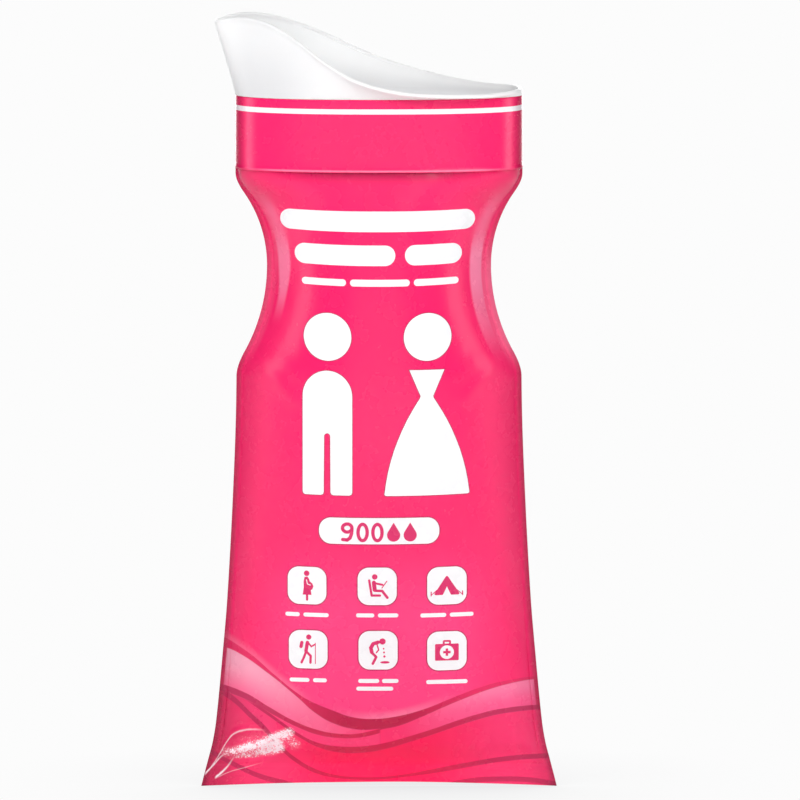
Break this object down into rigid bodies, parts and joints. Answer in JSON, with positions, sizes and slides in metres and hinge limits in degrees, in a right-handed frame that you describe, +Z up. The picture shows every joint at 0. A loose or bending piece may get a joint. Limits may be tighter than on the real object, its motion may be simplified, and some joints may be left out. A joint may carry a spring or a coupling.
{
  "type": "disposable urine bag",
  "caption": "Soft pink film pouch with a pinched waist, an oval neck band and a white funnel mouth with one tall beak; non-return valve and absorbent sachet inside.",
  "frame": {"origin": "centre of the foot seal, on the bottom edge of the pouch", "axes": "+Z up from the foot to the mouth, front face towards -Y, tall beak of the mouth towards -X"},
  "size_m": [0.129, 0.0562, 0.2812],
  "materials": {
    "mouth_plastic": "satin white moulded polyethylene",
    "band_film": "glossy printed pink film with one white stripe",
    "pouch_film": "glossy printed pink laminate film",
    "seal_film": "heat-sealed pink laminate, finely ribbed",
    "valve_film": "clear soft polyethylene film",
    "sachet_cloth": "thin white non-woven, point bonded",
    "granule": "translucent superabsorbent polymer"
  },
  "bodies": {
    "mouth": {"mouthpiece": "mouth_plastic", "neck_band": "band_film", "neck_film": "pouch_film", "valve_ring": "valve_film"},
    "pouch": {"front_film": "pouch_film", "back_film": "pouch_film", "side_seal_left": "seal_film", "side_seal_right": "seal_film", "foot_seal": "seal_film"},
    "valve_front": {"valve_flap_front": "valve_film"},
    "valve_back": {"valve_flap_back": "valve_film"},
    "sachet": {"sachet_front_sheet": "sachet_cloth", "sachet_back_sheet": "sachet_cloth", "absorbent_granules": "granule"}
  },
  "joints": [
    {"name": "bag_flex", "type": "hinge", "parent": "mouth", "child": "pouch", "pos_m": [0, 0, 0.2255], "axis": [1, 0, 0], "range_deg": [-15, 15], "stiffness_Nm_per_rad": 0.15},
    {"name": "valve_front_open", "type": "hinge", "parent": "mouth", "child": "valve_front", "pos_m": [0, 0, 0.2285], "axis": [-1, 0, 0], "range_deg": [0, 8], "stiffness_Nm_per_rad": 0.002},
    {"name": "valve_back_open", "type": "hinge", "parent": "mouth", "child": "valve_back", "pos_m": [0, 0, 0.2285], "axis": [1, 0, 0], "range_deg": [0, 8]},
    {"name": "sachet_slide", "type": "slide", "parent": "pouch", "child": "sachet", "axis": [0, 0, 1], "range_m": [0, 0.075]}
  ],
  "couplings": [
    {"joint": "valve_back_open", "follows": "valve_front_open", "ratio": 1}
  ]
}
